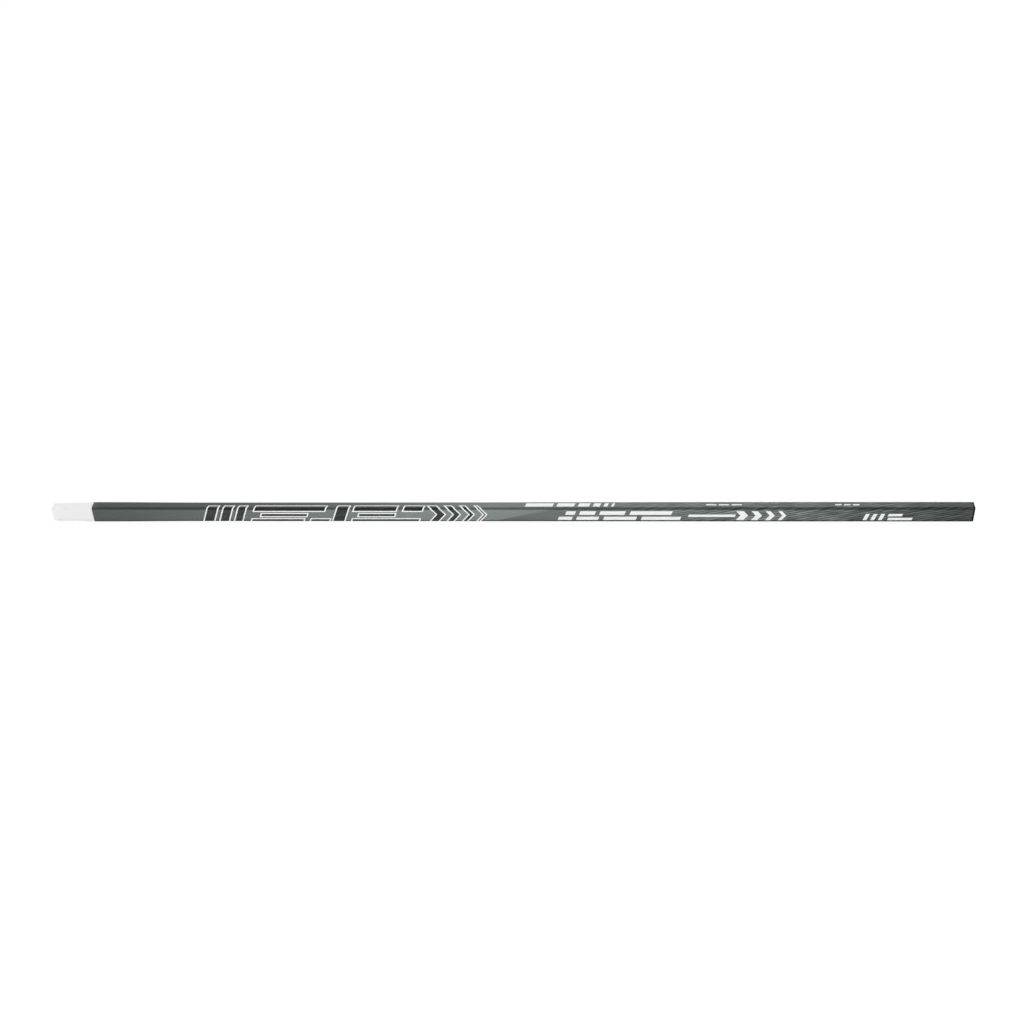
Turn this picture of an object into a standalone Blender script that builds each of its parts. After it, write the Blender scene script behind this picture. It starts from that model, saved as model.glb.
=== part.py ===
"""Ringette stick: laminate shaft, moulded tip with its hot-melt bond, and butt cap.

The stick lies on one narrow edge along X, with its tip at -X and its butt at +X.
Its origin is at mid length, on the surface that it rests on. All sizes are in metres.
A height is measured along Z, across the wide sides, and a width along Y.
"""

import math

import bmesh
import bpy

# Shaft outside: fuller at the tip socket, slim behind it, full again at the grip
SHAFT_LENGTH = 1.403
SOCKET_HEIGHT = 0.0288
SOCKET_WIDTH = 0.0181
WAIST_HEIGHT = 0.0275
WAIST_WIDTH = 0.0173
GRIP_HEIGHT = 0.0282
GRIP_WIDTH = 0.0177
SHAFT_CORNER = 0.003
SOCKET_COLLAR = 0.012
FLARE_LENGTH = 0.160
WAIST_LENGTH = 0.330
TAPER_LENGTH = 0.640

# Shaft bore: the socket keeps one size as deep as a tip can go
WALL = 0.0017
SOCKET_WALL = 0.0022
SOCKET_REACH = 0.070
BORE_CORNER = 0.0015
MOUTH_CHAMFER = 0.0006

# Tip: the part that shows
NOSE_LENGTH = 0.044
NOSE_HEIGHT = 0.0271
NOSE_WIDTH = 0.0171
NOSE_CORNER = 0.0035
NOSE_DRAFT = math.radians(0.3)
NOSE_ROUNDING = 0.0025
NOSE_FLARE = 0.017
TIP_COLLAR = 0.006
COLLAR_EDGE = 0.0004

# Tip: the ribbed and cored tenon inside the socket
TENON_LENGTH = 0.056
TENON_CORNER = 0.001
TENON_LEAD = 0.003
TENON_LEAD_DROP = 0.0013
TENON_FILLET = 0.0008
RIB_HEIGHT = 0.0011
RIB_WIDTH = 0.003
RIB_SPACING = 0.012
RIB_SETBACK = 0.012
RIB_LEAD = 0.003
CORE_WALL = 0.0026
CORE_CORNER = 0.0015
CORE_DRAFT = math.radians(0.5)
NOSE_SOLID = 0.030

# Hot-melt bond: how far behind the tip's shoulder it begins
BOND_START = 0.002

# Butt cap
CAP_FLANGE = 0.0024
CAP_EDGE = 0.0007
CAP_STEM = 0.028
CAP_STEM_CORNER = 0.001
CAP_WALL = 0.0018
CAP_LEAD = 0.003
CAP_LEAD_DROP = 0.0009
CAP_RIB_HEIGHT = 0.0006
CAP_RIB_WIDTH = 0.0015
CAP_RIB_SPACING = 0.014
CAP_RIB_SETBACK = 0.008
CAP_RIB_LEAD = 0.002

# Clearances
FACE_GAP = 0.0003
FIT_GAP = 0.0003

# Fineness of the rounded corners and of the eased stretches
CORNER_STEPS = 8
FLARE_STEPS = 10
TAPER_STEPS = 12
ROUNDING_STEPS = 6
FILLET_STEPS = 3

# How far a rib's foot sinks into what carries it, and how far a cutter stands clear
RIB_FOOT = 0.0005
CUT_MARGIN = 0.002

SMOOTH_ANGLE = math.radians(30)


def ease(start, end, share):
    """Blend from start to end with no slope at either end."""
    share = min(max(share, 0.0), 1.0)
    return start + (end - start) * share * share * (3.0 - 2.0 * share)


def outside_at(x):
    """Height and width of the shaft at a distance x behind its mouth."""
    waist_start = SOCKET_COLLAR + FLARE_LENGTH
    waist_end = waist_start + WAIST_LENGTH
    if x <= waist_start:
        share = (x - SOCKET_COLLAR) / FLARE_LENGTH
        return ease(SOCKET_HEIGHT, WAIST_HEIGHT, share), ease(SOCKET_WIDTH, WAIST_WIDTH, share)
    share = (x - waist_end) / TAPER_LENGTH
    return ease(WAIST_HEIGHT, GRIP_HEIGHT, share), ease(WAIST_WIDTH, GRIP_WIDTH, share)


def bore_at(x):
    """Height and width of the bore at a distance x behind the shaft's mouth."""
    socket = (SOCKET_HEIGHT - 2 * SOCKET_WALL, SOCKET_WIDTH - 2 * SOCKET_WALL)
    share = (x - SOCKET_REACH) / (SOCKET_COLLAR + FLARE_LENGTH - SOCKET_REACH)
    if share <= 0.0:
        return socket
    height, width = outside_at(x)
    share = min(share, 1.0)
    return (
        socket[0] + (height - 2 * WALL - socket[0]) * share,
        socket[1] + (width - 2 * WALL - socket[1]) * share,
    )


def shaft_stations():
    """Distances behind the mouth at which the shaft's section is set."""
    waist_start = SOCKET_COLLAR + FLARE_LENGTH
    waist_end = waist_start + WAIST_LENGTH
    places = [0.0]
    places += [SOCKET_COLLAR + FLARE_LENGTH * i / FLARE_STEPS for i in range(FLARE_STEPS + 1)]
    places += [waist_end + TAPER_LENGTH * i / TAPER_STEPS for i in range(TAPER_STEPS + 1)]
    return [x for x in places if x < SHAFT_LENGTH] + [SHAFT_LENGTH]


def grown(section, amount):
    """A section whose four sides all stand out by an amount, or in by a negative one."""
    return section[0] + 2 * amount, section[1] + 2 * amount


TIP_REACH = NOSE_LENGTH + NOSE_FLARE + TIP_COLLAR
LENGTH = TIP_REACH + FACE_GAP + SHAFT_LENGTH + FACE_GAP + CAP_FLANGE
SHOULDER_X = TIP_REACH - LENGTH / 2
MOUTH_X = SHOULDER_X + FACE_GAP
CAP_X = MOUTH_X + SHAFT_LENGTH + FACE_GAP
AXIS_Z = max(outside_at(x)[0] for x in shaft_stations()) / 2

SOCKET = bore_at(0.0)
TENON = grown(SOCKET, -FIT_GAP - RIB_HEIGHT)
STEM = grown(bore_at(SHAFT_LENGTH), -FIT_GAP - CAP_RIB_HEIGHT)


def rounded_ring(x, section, corner):
    """Points of a rounded rectangle across X, counted round from the top corner at +Y."""
    half_height, half_width = section[0] / 2, section[1] / 2
    corner = min(corner, 0.98 * half_height, 0.98 * half_width)
    points = []
    for quarter, (side_y, side_z) in enumerate(((1, 1), (-1, 1), (-1, -1), (1, -1))):
        centre_y = side_y * (half_width - corner)
        centre_z = side_z * (half_height - corner)
        for step in range(CORNER_STEPS + 1):
            angle = math.pi / 2 * (quarter + step / CORNER_STEPS)
            y = centre_y + corner * math.cos(angle)
            z = centre_z + corner * math.sin(angle)
            points.append((x, y, z))
    return points


def finish_mesh(name, shape, material):
    """Turn a bmesh into an object with outward faces, shaded smooth but for its edges."""
    bmesh.ops.recalc_face_normals(shape, faces=shape.faces)
    mesh = bpy.data.meshes.new(name)
    shape.to_mesh(mesh)
    shape.free()
    mesh.shade_smooth()
    mesh.set_sharp_from_angle(angle=SMOOTH_ANGLE)
    if material:
        mesh.materials.append(material)
    piece = bpy.data.objects.new(name, mesh)
    bpy.context.scene.collection.objects.link(piece)
    return piece


def loft(name, stations, material, closed=False):
    """Skin a chain of rounded sections. A closed chain is a tube, an open one gets ends."""
    shape = bmesh.new()
    rings = []
    for x, section, corner in stations:
        rings.append([shape.verts.new(point) for point in rounded_ring(x, section, corner)])
    joins = list(zip(rings, rings[1:]))
    if closed:
        joins.append((rings[-1], rings[0]))
    else:
        shape.faces.new(rings[0])
        shape.faces.new(rings[-1])
    for ring, following in joins:
        for i in range(len(ring)):
            j = (i + 1) % len(ring)
            shape.faces.new((ring[i], ring[j], following[j], following[i]))
    return finish_mesh(name, shape, material)


def bars(name, core, spacing, profile, width):
    """Bars along X on the sides of a core: two on each wide side, one on each narrow side.

    The profile lists (x, height above the core's side) points round one bar.
    """
    half_height, half_width = core[0] / 2, core[1] / 2
    shape = bmesh.new()
    places = [(side, offset, True) for side in (1, -1) for offset in (-spacing / 2, spacing / 2)]
    places += [(side, 0.0, False) for side in (1, -1)]
    for side, offset, on_wide_side in places:
        rows = []
        for across in (offset - width / 2, offset + width / 2):
            row = []
            for x, rise in profile:
                if on_wide_side:
                    row.append(shape.verts.new((x, side * (half_width + rise), across)))
                else:
                    row.append(shape.verts.new((x, across, side * (half_height + rise))))
            rows.append(row)
        shape.faces.new(rows[0])
        shape.faces.new(rows[1])
        for i in range(len(profile)):
            j = (i + 1) % len(profile)
            shape.faces.new((rows[0][i], rows[0][j], rows[1][j], rows[1][i]))
    return finish_mesh(name, shape, None)


def combine(piece, guide, operation):
    """Add a guide's bars to a piece, or cut them from it, and shade the edges that this makes."""
    modifier = piece.modifiers.new(guide.name, "BOOLEAN")
    modifier.operation = operation
    modifier.object = guide
    modifier.solver = "EXACT"
    seen = piece.evaluated_get(bpy.context.evaluated_depsgraph_get())
    whole = bpy.data.meshes.new_from_object(seen)
    whole.set_sharp_from_angle(angle=SMOOTH_ANGLE)
    whole.name = piece.name
    piece.modifiers.clear()
    piece.data = whole
    bpy.data.objects.remove(guide)


def rib_profile(length, height, lead):
    """Side view of a rib that starts in a shoulder and runs out down a slope."""
    return [
        (-RIB_FOOT, -RIB_FOOT),
        (length, -RIB_FOOT),
        (length - lead, height),
        (-RIB_FOOT, height),
    ]


def principled(name, colour, roughness, coat=0.0):
    """A plain surface of one colour."""
    material = bpy.data.materials.new(name)
    material.use_nodes = True
    shader = material.node_tree.nodes["Principled BSDF"]
    shader.inputs["Base Color"].default_value = (*colour, 1.0)
    shader.inputs["Roughness"].default_value = roughness
    shader.inputs["Metallic"].default_value = 0.0
    shader.inputs["Coat Weight"].default_value = coat
    return material


def make_shaft():
    """The laminate tube, flared at the socket, with a chamfered mouth."""
    places = shaft_stations()
    outer = [(x, outside_at(x), SHAFT_CORNER) for x in places]
    inner_places = [MOUTH_CHAMFER, SOCKET_REACH]
    inner_places += [x for x in places if x > SOCKET_REACH]
    inner = [(x, bore_at(x), BORE_CORNER) for x in reversed(inner_places)]
    mouth = (0.0, grown(SOCKET, MOUTH_CHAMFER), BORE_CORNER + MOUTH_CHAMFER)
    laminate = principled("carbon_laminate", (0.105, 0.115, 0.112), 0.35, 0.5)
    return loft("shaft", outer + inner + [mouth], laminate, closed=True)


def nose_stations():
    """The tip from its free end to its shoulder, which lies at x = 0."""
    root_x = -TIP_COLLAR - NOSE_FLARE
    end_x = -TIP_REACH
    taper = math.tan(NOSE_DRAFT)
    stations = []
    for step in range(ROUNDING_STEPS + 1):
        angle = math.pi / 2 * step / ROUNDING_STEPS
        x = end_x + NOSE_ROUNDING * (1 - math.cos(angle))
        inset = NOSE_ROUNDING * (1 - math.sin(angle))
        section = grown((NOSE_HEIGHT, NOSE_WIDTH), (x - root_x) * taper - inset)
        stations.append((x, section, NOSE_CORNER - inset))
    collar = outside_at(0.0)
    for step in range(FLARE_STEPS + 1):
        share = step / FLARE_STEPS
        x = root_x + NOSE_FLARE * share
        section = (ease(NOSE_HEIGHT, collar[0], share), ease(NOSE_WIDTH, collar[1], share))
        stations.append((x, section, ease(NOSE_CORNER, SHAFT_CORNER, share)))
    stations.append((-COLLAR_EDGE, collar, SHAFT_CORNER))
    stations.append((0.0, grown(collar, -COLLAR_EDGE), SHAFT_CORNER - COLLAR_EDGE))
    return stations


def tenon_stations():
    """The tenon from the shoulder to its end, and its core back into the nose."""
    stations = []
    for step in range(FILLET_STEPS + 1):
        angle = math.pi / 2 * step / FILLET_STEPS
        x = TENON_FILLET * (1 - math.cos(angle))
        swell = TENON_FILLET * (1 - math.sin(angle))
        stations.append((x, grown(TENON, swell), TENON_CORNER + swell))
    stations.append((TENON_LENGTH - TENON_LEAD, TENON, TENON_CORNER))
    stations.append((TENON_LENGTH, grown(TENON, -TENON_LEAD_DROP), TENON_CORNER))
    core_mouth = grown(TENON, -CORE_WALL)
    core_length = TENON_LENGTH + TIP_REACH - NOSE_SOLID
    core_drop = core_length * math.tan(CORE_DRAFT)
    stations.append((TENON_LENGTH, core_mouth, CORE_CORNER))
    stations.append((TENON_LENGTH - core_length, grown(core_mouth, -core_drop), CORE_CORNER))
    return stations


def make_tip():
    """The moulded tip: one skin from the nose round the tenon into the core, then its ribs."""
    nylon = principled("tip_nylon", (0.84, 0.84, 0.84), 0.45)
    tip = loft("tip", nose_stations() + tenon_stations(), nylon)
    profile = rib_profile(TENON_LENGTH - RIB_SETBACK, RIB_HEIGHT, RIB_LEAD)
    combine(tip, bars("tip_ribs", TENON, RIB_SPACING, profile, RIB_WIDTH), "UNION")
    return tip


def make_bond():
    """The hot-melt layer: a sleeve in the socket, parted by the tip's ribs in front."""
    start, end = BOND_START, TENON_LENGTH - TENON_LEAD
    outer = grown(SOCKET, -FIT_GAP)
    inner = grown(TENON, FIT_GAP)
    outer_corner = BORE_CORNER - FIT_GAP
    inner_corner = TENON_CORNER + FIT_GAP
    stations = [
        (start, outer, outer_corner),
        (end, outer, outer_corner),
        (end, inner, inner_corner),
        (start, inner, inner_corner),
    ]
    hot_melt = principled("hot_melt", (0.78, 0.68, 0.45), 0.4)
    bond = loft("tip_bond", stations, hot_melt, closed=True)
    slot_end = TENON_LENGTH - RIB_SETBACK + FIT_GAP
    slot = [
        (start - CUT_MARGIN, -CUT_MARGIN),
        (slot_end, -CUT_MARGIN),
        (slot_end, CUT_MARGIN + RIB_HEIGHT),
        (start - CUT_MARGIN, CUT_MARGIN + RIB_HEIGHT),
    ]
    cutter = bars("rib_slots", TENON, RIB_SPACING, slot, RIB_WIDTH + 2 * FIT_GAP)
    combine(bond, cutter, "DIFFERENCE")
    return bond


def make_cap():
    """The butt cap: a flush flange, and a hollow stem whose ribs grip the bore."""
    flush = outside_at(SHAFT_LENGTH)
    stations = []
    for step in range(FILLET_STEPS + 1):
        angle = math.pi / 2 * step / FILLET_STEPS
        x = CAP_FLANGE - CAP_EDGE * (1 - math.cos(angle))
        inset = CAP_EDGE * (1 - math.sin(angle))
        stations.append((x, grown(flush, -inset), SHAFT_CORNER - inset))
    stations.append((0.0, flush, SHAFT_CORNER))
    stations.append((0.0, STEM, CAP_STEM_CORNER))
    stations.append((CAP_LEAD - CAP_STEM, STEM, CAP_STEM_CORNER))
    stations.append((-CAP_STEM, grown(STEM, -CAP_LEAD_DROP), CAP_STEM_CORNER))
    stations.append((-CAP_STEM, grown(STEM, -CAP_WALL), CAP_STEM_CORNER))
    stations.append((0.0, grown(STEM, -CAP_WALL), CAP_STEM_CORNER))
    rubber = principled("cap_rubber", (0.012, 0.012, 0.013), 0.55)
    cap = loft("butt_cap", stations, rubber)
    length = CAP_STEM - CAP_RIB_SETBACK
    profile = [(-x, rise) for x, rise in rib_profile(length, CAP_RIB_HEIGHT, CAP_RIB_LEAD)]
    combine(cap, bars("cap_ribs", STEM, CAP_RIB_SPACING, profile, CAP_RIB_WIDTH), "UNION")
    return cap


def build():
    """Clear the scene, make the pieces and set each on the stick's axis."""
    for old in list(bpy.data.objects):
        bpy.data.objects.remove(old)
    stick = bpy.data.objects.new("stick", None)
    stick.location = (0.0, 0.0, AXIS_Z)
    bpy.context.scene.collection.objects.link(stick)
    places = (
        (make_shaft(), MOUTH_X),
        (make_tip(), SHOULDER_X),
        (make_bond(), SHOULDER_X),
        (make_cap(), CAP_X),
    )
    for piece, x in places:
        piece.parent = stick
        piece.location = (x, 0.0, 0.0)


build()
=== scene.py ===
"""Looks of the ringette stick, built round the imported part. All lengths are in metres."""

import math

import bmesh
import bpy
from mathutils import Matrix, Vector


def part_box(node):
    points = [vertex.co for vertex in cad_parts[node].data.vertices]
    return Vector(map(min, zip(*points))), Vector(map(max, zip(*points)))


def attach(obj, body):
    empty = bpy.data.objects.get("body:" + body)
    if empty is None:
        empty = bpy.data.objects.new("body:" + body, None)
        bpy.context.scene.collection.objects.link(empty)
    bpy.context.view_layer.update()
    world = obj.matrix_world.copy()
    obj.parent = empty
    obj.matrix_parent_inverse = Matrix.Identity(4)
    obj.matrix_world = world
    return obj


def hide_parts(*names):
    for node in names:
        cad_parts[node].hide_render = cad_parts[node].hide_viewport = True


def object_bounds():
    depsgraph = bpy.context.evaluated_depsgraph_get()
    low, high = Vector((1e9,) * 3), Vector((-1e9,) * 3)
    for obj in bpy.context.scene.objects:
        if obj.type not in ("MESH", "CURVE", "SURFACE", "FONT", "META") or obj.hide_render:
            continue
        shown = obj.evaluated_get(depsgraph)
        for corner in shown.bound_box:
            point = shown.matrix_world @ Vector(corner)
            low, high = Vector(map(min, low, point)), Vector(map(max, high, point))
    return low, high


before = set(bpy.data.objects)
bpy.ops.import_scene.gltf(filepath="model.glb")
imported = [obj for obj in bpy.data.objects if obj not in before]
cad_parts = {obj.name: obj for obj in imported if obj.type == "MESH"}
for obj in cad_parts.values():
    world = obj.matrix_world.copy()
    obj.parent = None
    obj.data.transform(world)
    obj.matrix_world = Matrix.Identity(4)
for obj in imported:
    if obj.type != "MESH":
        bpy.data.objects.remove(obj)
cad_low, cad_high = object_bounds()
bpy.ops.object.select_all(action="DESELECT")

# ---------------------------------------------------------------------------------------
# Camera: a long lens looks down on the lying stick from in front, a little from the
# right, and turned a touch about its own line of sight, as the photograph was taken.
AXIS_Z = (cad_low.z + cad_high.z) / 2
VIEW_AZIMUTH = math.radians(4.03)
VIEW_ELEVATION = math.radians(38.08)
VIEW_ROLL = math.radians(-2.49)
VIEW_DISTANCE = 2.429
VIEW_SIDEWAYS = 0.0097
VIEW_UPWARDS = -0.0004
LENS = 53.37
CLIP_RANGE = (0.05, 60.0)

back = Vector(
    (
        math.sin(VIEW_AZIMUTH) * math.cos(VIEW_ELEVATION),
        -math.cos(VIEW_AZIMUTH) * math.cos(VIEW_ELEVATION),
        math.sin(VIEW_ELEVATION),
    )
)
horizontal = Vector((math.cos(VIEW_AZIMUTH), math.sin(VIEW_AZIMUTH), 0.0))
upright = back.cross(horizontal)
right = horizontal * math.cos(VIEW_ROLL) + upright * math.sin(VIEW_ROLL)
up = upright * math.cos(VIEW_ROLL) - horizontal * math.sin(VIEW_ROLL)
camera = bpy.data.objects.new("studio_camera", bpy.data.cameras.new("studio_camera"))
bpy.context.scene.collection.objects.link(camera)
camera.data.lens = LENS
camera.data.clip_start, camera.data.clip_end = CLIP_RANGE
stand = Vector((0.0, 0.0, AXIS_Z)) + back * VIEW_DISTANCE
stand += right * VIEW_SIDEWAYS + up * VIEW_UPWARDS
turn = Matrix((right, up, back)).transposed().to_4x4()
camera.matrix_world = Matrix.Translation(stand) @ turn
bpy.context.scene.camera = camera

# ---------------------------------------------------------------------------------------
# Studio: a pale dome with greyer walls beyond both ends and behind. Overhead and in front
# it has a dark strip, which the rounded edges of the shaft mirror as a thin dark line.
# Seen straight, the dome and the table are white, and the table glows, so that hardly a
# shadow is left on it. What the stick mirrors of the table is darker than what lights it.
DOME = 1.8
SIDE_WALL = 0.7
REAR_WALL = 0.65
DARK_STRIP = 0.02
SEEN_DOME = 1.0
FLOOR_SIZE = 40.0
FLOOR_DROP = 0.0002
FLOOR_COLOUR = 0.75
FLOOR_GLOW = 0.12
MIRRORED_COLOUR = 0.30
SEEN_COLOUR = 0.10
SEEN_GLOW = 0.93
FLOOR_ROUGHNESS = 0.9
# Where one tone of the dome turns into the next, as components of the direction to it.
SIDE_WALL_TURN = (0.60, 0.80)
STRIP_RISE = (0.45, 0.65)
STRIP_REAR_END = (0.05, 0.30)
STRIP_SIDE_ENDS = (0.38, 0.55)
REAR_WALL_TURN = (0.40, 0.60)
REAR_WALL_RISE = (0.30, 0.45)
REAR_WALL_ENDS = (0.45, 0.65)


def feed(tree, node, *inputs):
    """Set a node's inputs, from (socket, value or other node's output) pairs."""
    for socket, value in inputs:
        if isinstance(value, bpy.types.NodeSocket):
            tree.links.new(value, node.inputs[socket])
        else:
            node.inputs[socket].default_value = value


def add_node(tree, kind, inputs=(), **settings):
    """A new node with its settings and its inputs."""
    made = tree.nodes.new(kind)
    for name, value in settings.items():
        setattr(made, name, value)
    feed(tree, made, *inputs)
    return made


def calc(tree, operation, *values):
    """The output of a Math node on sockets or numbers."""
    return add_node(tree, "ShaderNodeMath", enumerate(values), operation=operation).outputs[0]


def product(tree, first, *others):
    """The first value multiplied by all the others."""
    for other in others:
        first = calc(tree, "MULTIPLY", first, other)
    return first


def ramp(tree, value, low, high, start=0.0, end=1.0):
    """A smooth step from start to end while the value goes from low to high."""
    pairs = ((0, value), (1, low), (2, high), (3, start), (4, end))
    kind = "ShaderNodeMapRange"
    return add_node(tree, kind, pairs, interpolation_type="SMOOTHSTEP").outputs[0]


def between(tree, share, start, end):
    """A value that goes evenly from start to end with a share."""
    return add_node(tree, "ShaderNodeMapRange", [(0, share), (3, start), (4, end)]).outputs[0]


world = bpy.data.worlds.new("studio_dome")
bpy.context.scene.world = world
world.use_nodes = True
tree = world.node_tree
towards = add_node(tree, "ShaderNodeTexCoord").outputs["Generated"]
directions = add_node(tree, "ShaderNodeSeparateXYZ", [(0, towards)]).outputs
towards_x, towards_y, towards_z = directions
sideways = calc(tree, "ABSOLUTE", towards_x)
strip = product(
    tree,
    ramp(tree, towards_z, *STRIP_RISE),
    ramp(tree, towards_y, *STRIP_REAR_END, 1.0, 0.0),
    ramp(tree, sideways, *STRIP_SIDE_ENDS, 1.0, 0.0),
)
rear = product(
    tree,
    ramp(tree, towards_y, *REAR_WALL_TURN),
    ramp(tree, towards_z, *REAR_WALL_RISE),
    ramp(tree, sideways, *REAR_WALL_ENDS, 1.0, 0.0),
)
light = ramp(tree, sideways, *SIDE_WALL_TURN, DOME, SIDE_WALL)
light = between(tree, rear, light, REAR_WALL)
light = between(tree, strip, light, DARK_STRIP)
seen = add_node(tree, "ShaderNodeLightPath").outputs["Is Camera Ray"]
light = between(tree, seen, light, SEEN_DOME)
tree.links.new(light, tree.nodes["Background"].inputs["Color"])
bpy.context.scene.view_settings.view_transform = "Standard"

bpy.ops.mesh.primitive_plane_add(size=FLOOR_SIZE, location=(0.0, 0.0, -FLOOR_DROP))
floor = bpy.context.object
floor.name = "floor"
table = bpy.data.materials.new("white_table")
table.use_nodes = True
tree = table.node_tree
shader = tree.nodes["Principled BSDF"]
rays = add_node(tree, "ShaderNodeLightPath").outputs
for name, lit, mirrored, seen in (
    ("Base Color", FLOOR_COLOUR, MIRRORED_COLOUR, SEEN_COLOUR),
    ("Emission Strength", FLOOR_GLOW, 0.0, SEEN_GLOW),
):
    unseen = between(tree, rays["Is Glossy Ray"], lit, mirrored)
    feed(tree, shader, (name, between(tree, rays["Is Camera Ray"], unseen, seen)))
shader.inputs["Roughness"].default_value = FLOOR_ROUGHNESS
shader.inputs["Specular IOR Level"].default_value = 0.0
shader.inputs["Emission Color"].default_value = (1.0, 1.0, 1.0, 1.0)
floor.data.materials.append(table)

# ---------------------------------------------------------------------------------------
# Shaft: a hollow tube of carbon laminate, fuller at the socket for the tip, slim behind
# it and full again at the grip. It is moulded round a mandrel, painted, printed and
# lacquered, then cut square at both ends.
SHAFT_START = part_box("shaft")[0].x
SHAFT_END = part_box("shaft")[1].x
SOCKET_SIZE = (0.0181, 0.0288)
WAIST_SIZE = (0.0173, 0.0275)
GRIP_SIZE = (0.0177, 0.0282)
SOCKET_COLLAR = 0.012
FLARE_LENGTH = 0.160
FLARE_STEPS = 16
WAIST_LENGTH = 0.330
TAPER_LENGTH = 0.640
TAPER_STEPS = 24
SHAFT_CORNER = 0.003
CORNER_SEGMENTS = 12
WALL = 0.0017
SOCKET_WALL = 0.0022
SOCKET_REACH = 0.070
MOUTH_CHAMFER = 0.0006
CUT_EDGE = 0.0002
MAP_STRIPS = 4
SMOOTH_ANGLE = math.radians(30)
SAME_PLACE = 1e-5  # vertices nearer to a plane than this lie in it


def block(name, low, high):
    """A cube primitive at its size and place, left in edit mode to be shaped."""
    bpy.ops.object.select_all(action="DESELECT")
    bpy.ops.mesh.primitive_cube_add(size=1.0, location=(0.0, 0.0, 0.0))
    piece = bpy.context.object
    piece.name = piece.data.name = name
    bpy.ops.object.mode_set(mode="EDIT")
    bpy.ops.transform.resize(value=high - low, center_override=(0.0, 0.0, 0.0))
    bpy.ops.transform.translate(value=(low + high) / 2)
    return piece


def bar_block(name, size, start, end):
    """A block of a section's width and height on the stick's axis, from start to end."""
    half = Vector((0.0, size[0] / 2, size[1] / 2))
    axis = Vector((0.0, 0.0, AXIS_Z))
    return block(name, axis - half + Vector((start, 0, 0)), axis + half + Vector((end, 0, 0)))


def pick(kind, test):
    """Select the vertices, edges or faces of the edited mesh that pass a test."""
    bpy.ops.mesh.select_mode(type=kind)
    bpy.ops.mesh.select_all(action="DESELECT")
    shape = bmesh.from_edit_mesh(bpy.context.object.data)
    for item in {"VERT": shape.verts, "EDGE": shape.edges, "FACE": shape.faces}[kind]:
        if test(item):
            item.select_set(True)
    bmesh.update_edit_mesh(bpy.context.object.data)


def cut_across(places, axis="x"):
    """Cut the whole edited mesh with planes across an axis."""
    normal = {"x": (1, 0, 0), "y": (0, 1, 0), "z": (0, 0, 1)}[axis]
    for place in places:
        bpy.ops.mesh.select_all(action="SELECT")
        point = [place * n for n in normal]
        bpy.ops.mesh.bisect(plane_co=point, plane_no=normal)


def size_picked(x, width_share, height_share):
    """Scale what is selected at x about the stick's axis."""
    share = (1.0, width_share, height_share)
    bpy.ops.transform.resize(value=share, center_override=(x, 0.0, AXIS_Z))


def size_ring(x, width_share, height_share):
    """Scale the ring of vertices at x about the stick's axis."""
    pick("VERT", lambda v: abs(v.co.x - x) < SAME_PLACE)
    size_picked(x, width_share, height_share)


def bevel_picked(offset, segments):
    """Bevel the selected edges."""
    bpy.ops.mesh.bevel(offset=offset, segments=segments, affect="EDGES", clamp_overlap=False)


def bevel_long_edges(offset, segments):
    """Round the edges that run along the edited bar."""
    pick("EDGE", lambda e: abs(e.verts[0].co.x - e.verts[1].co.x) > SAME_PLACE)
    bevel_picked(offset, segments)


def face_outwards():
    """Turn all faces of the edited mesh outwards."""
    bpy.ops.mesh.select_all(action="SELECT")
    bpy.ops.mesh.normals_make_consistent(inside=False)


def ease(start, end, share):
    """Blend from start to end with no slope at either end."""
    share = min(max(share, 0.0), 1.0)
    return start + (end - start) * share * share * (3.0 - 2.0 * share)


def shaft_size(x):
    """Width and height of the shaft at x."""
    behind = x - SHAFT_START - SOCKET_COLLAR
    if behind <= FLARE_LENGTH:
        sizes, share = (SOCKET_SIZE, WAIST_SIZE), behind / FLARE_LENGTH
    else:
        sizes = (WAIST_SIZE, GRIP_SIZE)
        share = (behind - FLARE_LENGTH - WAIST_LENGTH) / TAPER_LENGTH
    return [ease(start, end, share) for start, end in zip(*sizes)]


flare_start = SHAFT_START + SOCKET_COLLAR
flare_end = flare_start + FLARE_LENGTH
taper_start = flare_end + WAIST_LENGTH
socket_end = SHAFT_START + SOCKET_REACH
strip_length = (SHAFT_END - SHAFT_START) / MAP_STRIPS
stations = [flare_start + FLARE_LENGTH * i / FLARE_STEPS for i in range(FLARE_STEPS + 1)]
stations += [taper_start + TAPER_LENGTH * i / TAPER_STEPS for i in range(TAPER_STEPS + 1)]
stations += [socket_end] + [SHAFT_START + strip_length * i for i in range(1, MAP_STRIPS)]
stations = sorted(stations)

shaft = bar_block("shaft_tube", SOCKET_SIZE, SHAFT_START, SHAFT_END)
cut_across(stations)
for x in stations + [SHAFT_END]:
    width, height = shaft_size(x)
    size_ring(x, width / SOCKET_SIZE[0], height / SOCKET_SIZE[1])
pick("FACE", lambda f: abs(f.normal.x) > 0.9)
bpy.ops.mesh.delete(type="ONLY_FACE")
bevel_long_edges(SHAFT_CORNER, CORNER_SEGMENTS)
cut_across([0.0], "y")
cut_across([AXIS_Z], "z")
face_outwards()
bpy.ops.object.mode_set(mode="OBJECT")
shaft.data.materials.append(bpy.data.materials.new("painted_laminate"))
shaft.data.materials.append(bpy.data.materials.new("bare_laminate"))
wall = shaft.modifiers.new("wall", "SOLIDIFY")
wall.thickness = WALL
wall.offset = -1.0
wall.material_offset = 1
wall.material_offset_rim = 1
bpy.ops.object.modifier_apply(modifier="wall")


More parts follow.
